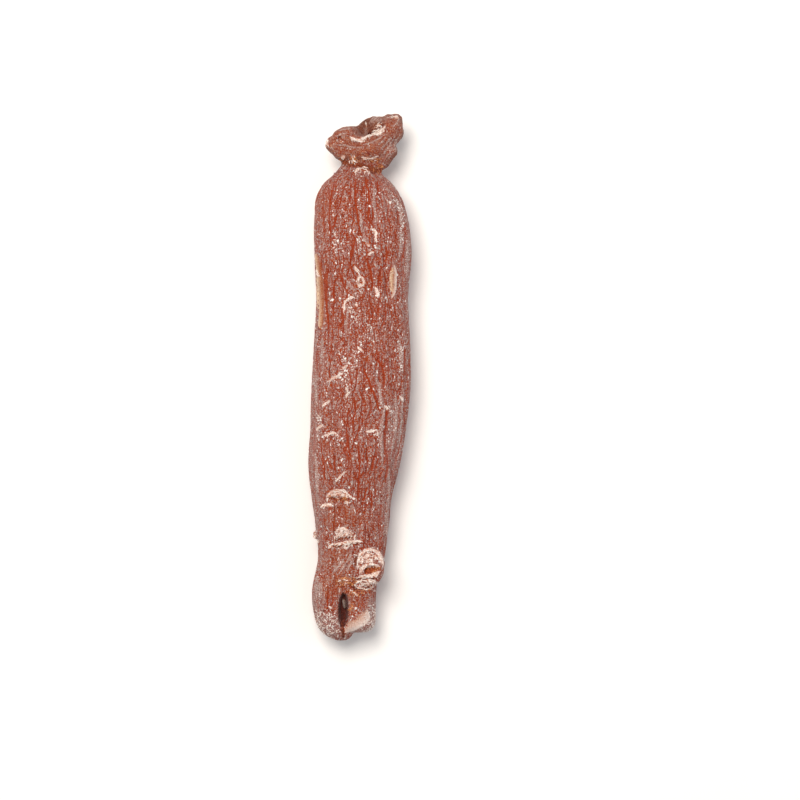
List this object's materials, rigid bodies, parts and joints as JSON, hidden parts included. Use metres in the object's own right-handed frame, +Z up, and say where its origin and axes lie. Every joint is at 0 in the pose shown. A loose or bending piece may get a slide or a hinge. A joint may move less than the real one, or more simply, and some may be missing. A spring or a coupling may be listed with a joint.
{
  "type": "red ginseng root",
  "caption": "Steamed and dried ginseng root lying on its side: knotted rhizome head with a stem scar, stout wrinkled body, torn side-root stub and a short forked tail.",
  "frame": {"origin": "on the table under the root, at the middle of the root's box from side to side and along its length", "axes": "+Y along the root from the trimmed tail to the rhizome head, +Z up, away from the flat it rests on, +X to the side that the side-root stub is on"},
  "size_m": [0.0235, 0.1202, 0.0191],
  "materials": {
    "root_skin": "wrinkled steamed and dried root skin, red-brown with a pinkish grey bloom on its ridges, dull with a faint waxy sheen"
  },
  "bodies": {
    "root": {"ginseng_root": "root_skin"}
  },
  "joints": []
}
